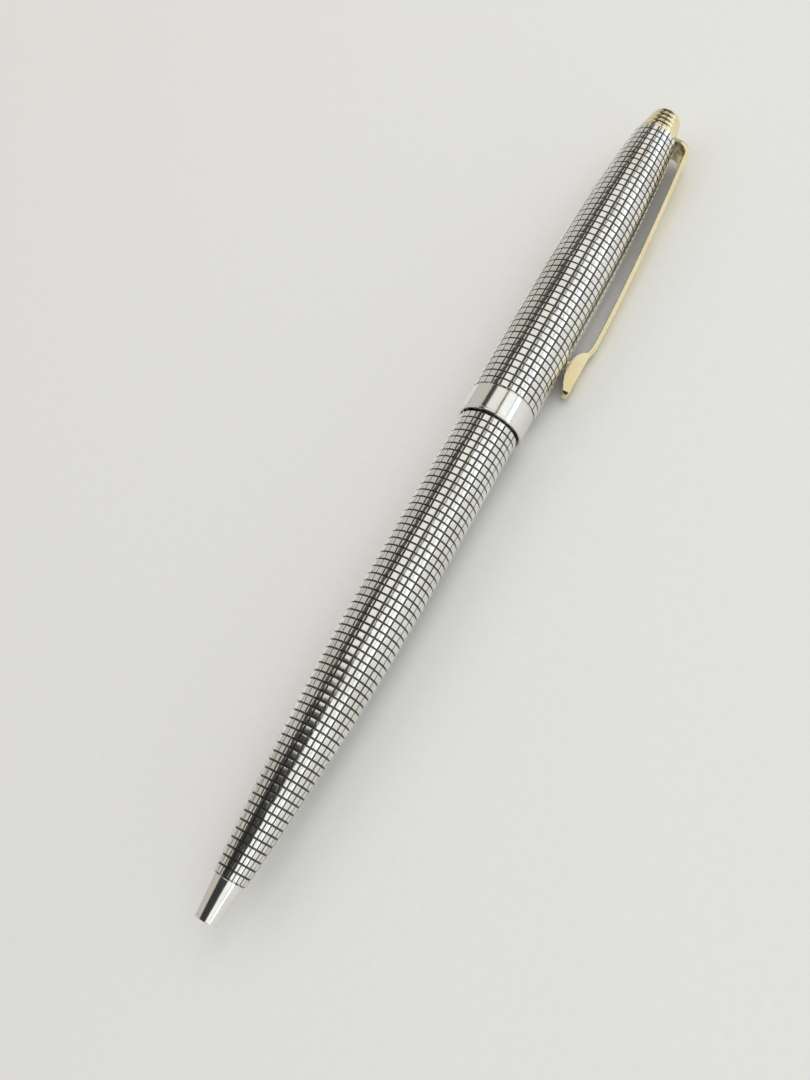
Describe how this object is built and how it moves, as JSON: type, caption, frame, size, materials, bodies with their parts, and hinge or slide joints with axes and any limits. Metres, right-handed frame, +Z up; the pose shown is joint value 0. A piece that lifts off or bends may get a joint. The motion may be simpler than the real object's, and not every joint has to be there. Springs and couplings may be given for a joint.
{
  "type": "rollerball pen",
  "caption": "Slim retractable rollerball pen with a polished nose cone, a tapered engraved barrel, a push-down cap with a centre band, a spring clip and a stepped end button.",
  "frame": {"origin": "on the surface that the pen lies on, under the middle of the bounding box", "axes": "+X along the pen's axis from the writing tip to the end button, +Z up; the clip points to -Y and downwards, so that its end rests on the surface"},
  "size_m": [0.1304, 0.0118, 0.0097],
  "materials": {
    "polished_silver": "polished silver",
    "engraved_silver": "silver engraved with a fine square grid, darkened in the cuts",
    "gold_plate": "polished gold plate",
    "brass": "turned",
    "steel": "drawn",
    "carbide": "ground",
    "white_plastic": "moulded acetal",
    "coloured_plastic": "moulded acetal",
    "dark_plastic": "moulded",
    "fibre": "bonded fibre",
    "inked_fibre": "ink-soaked fibre"
  },
  "bodies": {
    "barrel": {"nose_cone": "polished_silver", "barrel_shell": "engraved_silver", "barrel_neck": "brass", "mechanism_tube": "steel", "cam_housing": "white_plastic", "tube_cap": "brass", "refill_spring": "steel", "cap_spring": "steel"},
    "refill": {"refill_tube": "steel", "refill_front": "dark_plastic", "refill_point": "steel", "feed_wick": "fibre", "ink_reservoir": "inked_fibre", "refill_end_plug": "dark_plastic"},
    "ball": {"writing_ball": "carbide"},
    "rotor": {"rotor": "coloured_plastic"},
    "cap": {"cap_shell": "engraved_silver", "centre_band": "polished_silver", "cap_guide_bush": "white_plastic", "cap_top_bush": "brass", "clip": "gold_plate", "tassie": "gold_plate", "tassie_stud": "brass", "plunger": "white_plastic"}
  },
  "joints": [
    {"name": "cap_press", "type": "slide", "parent": "barrel", "child": "cap", "axis": [-1, 0, 0], "range_m": [0, 0.005], "stiffness_N_per_m": 500, "springref_m": -0.004, "deforming": ["cap_spring"]},
    {"name": "refill_advance", "type": "slide", "parent": "barrel", "child": "refill", "axis": [-1, 0, 0], "range_m": [0, 0.005], "stiffness_N_per_m": 120, "springref_m": -0.004, "deforming": ["refill_spring"]},
    {"name": "rotor_turn", "type": "hinge", "parent": "refill", "child": "rotor", "pos_m": [0.02983, 0.00107, 0.00483], "axis": [-1, 0, 0], "range_deg": [0, 22.5]},
    {"name": "ball_roll", "type": "hinge", "parent": "refill", "child": "ball", "pos_m": [-0.06363, 0.00107, 0.00483], "axis": [0, 1, 0], "continuous": true}
  ],
  "couplings": [
    {"joint": "refill_advance", "follows": "cap_press", "ratio": 1},
    {"joint": "rotor_turn", "follows": "cap_press", "rad_per_m": 78.5}
  ]
}
